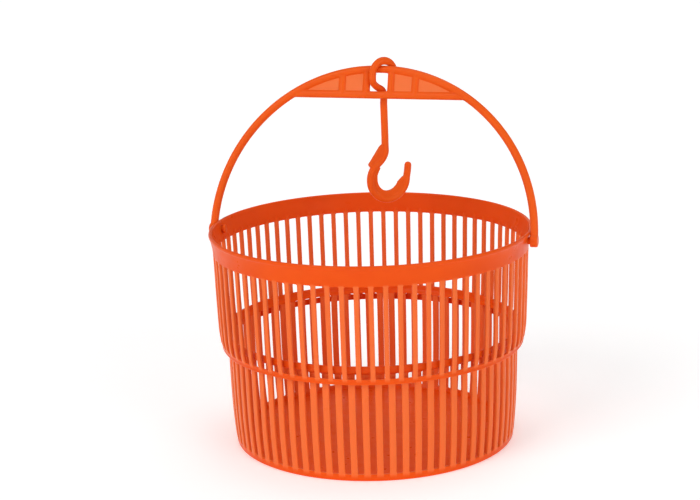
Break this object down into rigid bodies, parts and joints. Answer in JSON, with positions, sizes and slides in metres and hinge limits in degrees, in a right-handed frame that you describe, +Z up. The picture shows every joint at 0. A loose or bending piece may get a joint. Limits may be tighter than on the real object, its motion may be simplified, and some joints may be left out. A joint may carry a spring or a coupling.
{
  "type": "telescoping slotted basket with bail handle and hook",
  "caption": "Round slotted plastic basket in two telescoping tiers, with an arched bail handle and a swinging hook to hang it by.",
  "frame": {"origin": "centre of the base, on the surface that the basket stands on", "axes": "+Z up, X along the handle's hinge line, -Y the front, from which the handle leans away"},
  "size_m": [0.2522, 0.24, 0.2823],
  "materials": {
    "upper_tier": "satin polypropylene",
    "lower_bucket": "satin polypropylene",
    "handle": "satin polypropylene",
    "hook": "satin polypropylene"
  },
  "bodies": {
    "bucket": {"lower_bucket": "lower_bucket"},
    "sleeve": {"upper_tier": "upper_tier"},
    "bail": {"handle": "handle"},
    "hanger": {"hook": "hook"}
  },
  "joints": [
    {"name": "telescope", "type": "slide", "parent": "bucket", "child": "sleeve", "axis": [0, 0, 1], "range_m": [-0.07, 0.004]},
    {"name": "bail_pivot", "type": "hinge", "parent": "sleeve", "child": "bail", "pos_m": [0, 0, 0.1554], "axis": [1, 0, 0], "range_deg": [-63, 99]},
    {"name": "hook_swing", "type": "hinge", "parent": "bail", "child": "hanger", "pos_m": [0, 0.03823, 0.27305], "axis": [1, 0, 0], "range_deg": [0, 130]}
  ]
}
